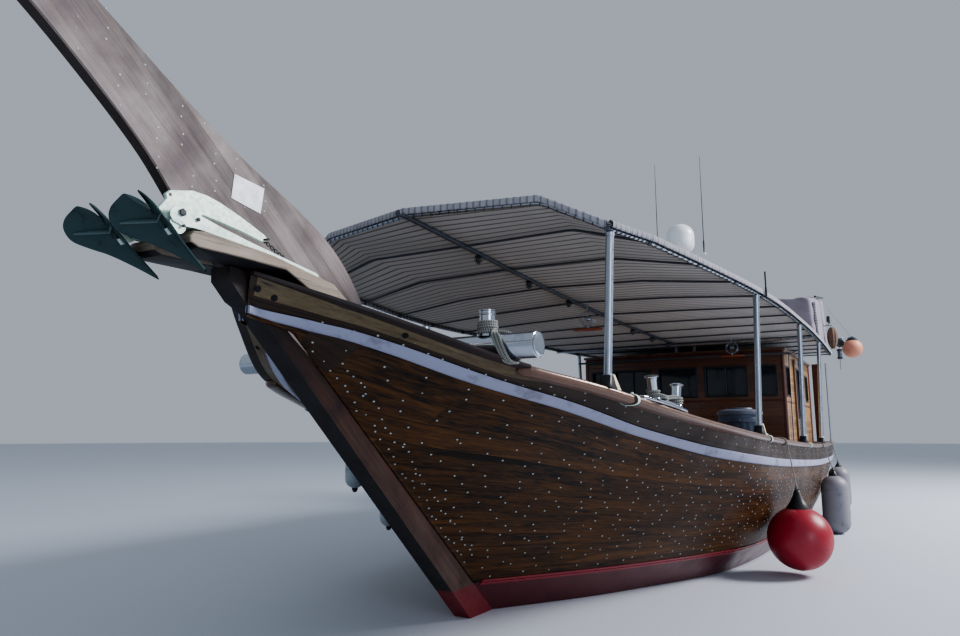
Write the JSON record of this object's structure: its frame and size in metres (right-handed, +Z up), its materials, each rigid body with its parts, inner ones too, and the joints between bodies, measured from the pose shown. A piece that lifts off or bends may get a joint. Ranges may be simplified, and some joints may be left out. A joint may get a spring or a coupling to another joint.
{
  "type": "wooden motor dhow with awning and wheelhouse",
  "caption": "Wooden motor dhow afloat: raked stem with a long stem-head board, bulwarked deck under a canvas awning, wheelhouse aft, anchors on bow rollers, rudder and propeller.",
  "frame": {"origin": "on the waterline amidships, on the centreline", "axes": "+X towards the bow, +Y to port, +Z up"},
  "size_m": [23.27, 6.5868, 10.76],
  "materials": {
    "varnished_planking": "dark varnished planks, weathered tan along the bulwark",
    "stem_timber": "oiled hardwood",
    "head_timber": "sun-bleached planks with open seams",
    "oiled_rail": "varnished round rail",
    "deck_teak": "worn bare planks",
    "stripe_paint": "pale painted moulding",
    "red_paint": "red painted moulding",
    "stainless_tube": "polished stainless tube",
    "galvanised_steel": "galvanised",
    "anchor_steel": "dark painted steel",
    "awning_cloth": "weathered grey canvas with fine stripes",
    "hood_cloth": "grey-beige canvas with wrinkles",
    "joinery": "varnished joinery",
    "dark_glass": "tinted glass",
    "radome_shell": "moulded white shell",
    "engine_iron": "painted cast iron",
    "propeller_bronze": "worn bronze",
    "bin_plastic": "ribbed grey plastic",
    "grey_vinyl": "inflated vinyl",
    "red_vinyl": "inflated vinyl"
  },
  "bodies": {
    "boat": {"hull": "varnished_planking", "engine": "engine_iron", "keel_and_stem": "stem_timber", "deck_aft": "deck_teak", "deck_fore": "deck_teak", "bulwark_aft_port": "varnished_planking", "bulwark_aft_starboard": "varnished_planking", "bulwark_fore_port": "varnished_planking", "bulwark_fore_starboard": "varnished_planking", "transom": "varnished_planking", "cap_rail_port": "oiled_rail", "cap_rail_starboard": "oiled_rail", "cap_rail_stern": "oiled_rail", "rub_strake_port": "stripe_paint", "rub_strake_starboard": "stripe_paint", "boot_top_moulding_port": "red_paint", "boot_top_moulding_starboard": "red_paint", "stem_head_board": "head_timber", "anchor_timber_port": "head_timber", "anchor_timber_starboard": "head_timber", "bow_roller_port": "galvanised_steel", "bow_roller_starboard": "galvanised_steel", "anchor_port": "anchor_steel", "anchor_starboard": "anchor_steel", "bitt_beam": "stainless_tube", "awning_frame": "stainless_tube", "twin_bollards_port": "stainless_tube", "twin_bollards_starboard": "stainless_tube", "awning_post_1_port": "stainless_tube", "awning_post_1_starboard": "stainless_tube", "awning_post_2_port": "stainless_tube", "awning_post_2_starboard": "stainless_tube", "awning_post_3_port": "stainless_tube", "awning_post_3_starboard": "stainless_tube", "awning_post_4_port": "stainless_tube", "awning_post_4_starboard": "stainless_tube", "awning_canvas": "awning_cloth", "wheelhouse_front": "joinery", "wheelhouse_side_port": "joinery", "wheelhouse_side_starboard": "joinery", "wheelhouse_aft": "joinery", "wheelhouse_roof": "joinery", "window_glass_front": "dark_glass", "window_glass_aft": "dark_glass", "mast": "stainless_tube", "radome": "radome_shell", "stern_hood": "hood_cloth", "stern_post_port": "varnished_planking", "stern_post_starboard": "varnished_planking", "deck_bin": "bin_plastic", "fender_ball_port": "red_vinyl", "fender_1_port": "grey_vinyl", "fender_2_port": "grey_vinyl", "fender_1_starboard": "grey_vinyl", "fender_2_starboard": "grey_vinyl"},
    "rudder": {"rudder": "varnished_planking"},
    "propeller": {"propeller": "propeller_bronze"},
    "side_door_port": {"side_door_port": "joinery"},
    "side_door_starboard": {"side_door_starboard": "joinery"}
  },
  "joints": [
    {"name": "propeller_spin", "type": "hinge", "parent": "boat", "child": "propeller", "pos_m": [-9.6, 0, -1.12], "axis": [1, 0, 0], "continuous": true},
    {"name": "rudder_turn", "type": "hinge", "parent": "boat", "child": "rudder", "pos_m": [-10.52, 0, 0], "axis": [0, 0, 1], "range_deg": [-35, 35]},
    {"name": "side_door_port_slide", "type": "slide", "parent": "boat", "child": "side_door_port", "axis": [-1, 0, 0], "range_m": [0, 0.75]},
    {"name": "side_door_starboard_slide", "type": "slide", "parent": "boat", "child": "side_door_starboard", "axis": [-1, 0, 0], "range_m": [0, 0.75]}
  ]
}
